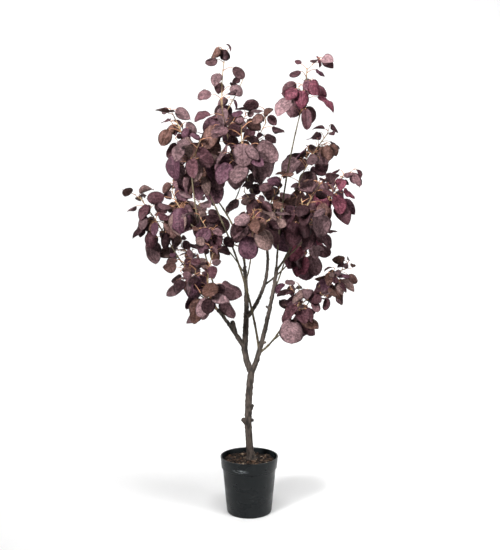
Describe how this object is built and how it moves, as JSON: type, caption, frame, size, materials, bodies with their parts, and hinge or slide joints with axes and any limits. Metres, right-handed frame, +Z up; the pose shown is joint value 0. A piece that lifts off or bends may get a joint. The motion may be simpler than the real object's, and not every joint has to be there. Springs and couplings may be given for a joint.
{
  "type": "artificial potted smoke bush",
  "caption": "Artificial smoke bush with a slim forked trunk and sprays of plum leaves, standing in a round nursery pot.",
  "frame": {"origin": "centre of the pot's flat underside", "axes": "+Z up along the trunk, +X to the viewer's right, -Y towards the viewer"},
  "size_m": [0.8172, 0.637, 1.6039],
  "materials": {
    "pot_plastic": "satin",
    "pot_filling": "matte",
    "bark": "matte",
    "young_bark": "matte",
    "leaf_plum": "matte",
    "leaf_garnet": "matte",
    "leaf_mauve": "matte",
    "leaf_umber": "matte"
  },
  "bodies": {
    "root": {"pot": "pot_plastic", "filling": "pot_filling", "trunk": "bark", "bough_left": "bark", "bough_right": "bark", "limb_left": "bark", "limb_mid": "bark", "limb_right": "bark", "limb_right_on": "young_bark", "limb_cross": "bark", "limb_thin": "young_bark", "limb_low_right": "young_bark", "limb_mid_up": "young_bark", "limb_left_up": "young_bark", "limb_left_out": "young_bark", "limb_left_side": "young_bark", "limb_left_low": "young_bark", "limb_shoulder": "young_bark", "limb_sprig": "young_bark", "limb_centre": "young_bark", "limb_cross_out": "young_bark", "limb_top": "young_bark", "limb_upper": "young_bark", "limb_right_up": "young_bark", "limb_right_out": "young_bark", "limb_right_top": "young_bark", "limb_low_out": "young_bark", "limb_rear": "young_bark", "limb_rear_left": "young_bark", "limb_rear_right": "young_bark", "limb_rear_top": "young_bark", "foliage_top": "leaf_plum", "foliage_upper": "leaf_mauve", "foliage_upper_right": "leaf_garnet", "foliage_upper_left": "leaf_plum", "foliage_right_top": "leaf_garnet", "foliage_far_right": "leaf_plum", "foliage_right": "leaf_umber", "foliage_far_low_right": "leaf_plum", "foliage_low_right": "leaf_garnet", "foliage_far_left": "leaf_umber", "foliage_shoulder": "leaf_umber", "foliage_left_side": "leaf_mauve", "foliage_low_left_side": "leaf_plum", "foliage_low_left": "leaf_mauve", "foliage_sprig_left": "leaf_umber", "foliage_centre": "leaf_mauve", "foliage_centre_right": "leaf_plum", "foliage_low_centre": "leaf_umber", "foliage_mid_top": "leaf_plum", "foliage_thin_top": "leaf_garnet", "foliage_rear": "leaf_plum", "foliage_rear_left": "leaf_umber", "foliage_rear_right": "leaf_mauve", "foliage_rear_top": "leaf_plum"}
  },
  "joints": []
}
